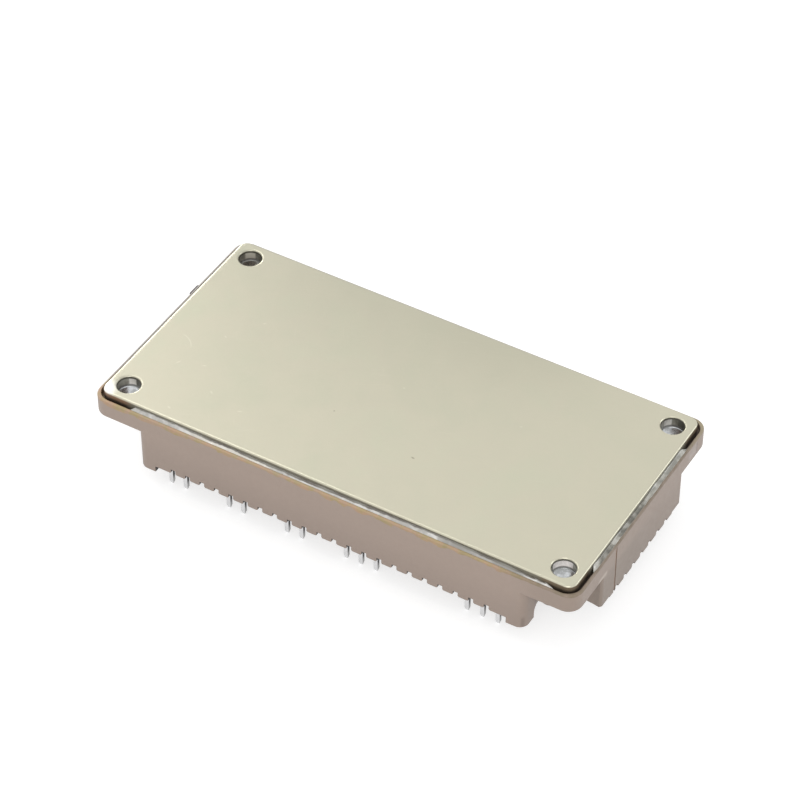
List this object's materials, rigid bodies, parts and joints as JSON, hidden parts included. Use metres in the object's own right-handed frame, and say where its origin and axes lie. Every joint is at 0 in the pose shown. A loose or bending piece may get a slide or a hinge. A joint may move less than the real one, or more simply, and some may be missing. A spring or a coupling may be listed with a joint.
{
  "type": "igbt power module",
  "caption": "Power semiconductor module with a bare metal base plate, a moulded frame with corner mounting holes and rows of solder pins.",
  "frame": {"origin": "centre of the base plate's outer face, the face that meets a heat sink", "axes": "+Z out of the base plate's outer face, the pins point along -Z; +X along the module, away from the short side that has pins"},
  "size_m": [0.123, 0.0622, 0.0206],
  "materials": {
    "plate": "matt nickel plating on copper, warm silver, with fine scratches and stains",
    "housing": "satin moulded thermoplastic, grey-brown, glass filled",
    "bush": "plated pressed steel",
    "sealant": "glossy pale grey adhesive, cured with a wavy surface",
    "pin": "bright tin plating on copper alloy",
    "solder": "dull solder",
    "copper": "bare rolled copper",
    "substrate": "white alumina",
    "silicon": "metallised silicon",
    "sensor": "black sintered ceramic",
    "bond": "bright aluminium",
    "gel": "clear soft silicone"
  },
  "bodies": {
    "root": {"base_plate": "plate", "frame": "housing", "lid": "housing", "mounting_bushes": "bush", "sealing_bead": "sealant", "front_pins_1": "pin", "front_pins_2": "pin", "front_pins_3": "pin", "front_pins_4": "pin", "front_pins_5": "pin", "back_pins_1": "pin", "back_pins_2": "pin", "back_pins_3": "pin", "back_pins_4": "pin", "back_pins_5": "pin", "back_pins_6": "pin", "left_pins_1": "pin", "left_pins_2": "pin", "substrate_solder": "solder", "substrate_back_copper": "copper", "substrate_ceramic": "substrate", "power_tracks": "copper", "edge_pads": "copper", "gate_tracks": "copper", "chip_solder": "solder", "igbt_chips": "silicon", "diode_chips": "silicon", "thermistor": "sensor", "emitter_ribbons": "bond", "gate_wires": "bond", "terminal_ribbons": "bond", "silicone_gel": "gel"}
  },
  "joints": []
}
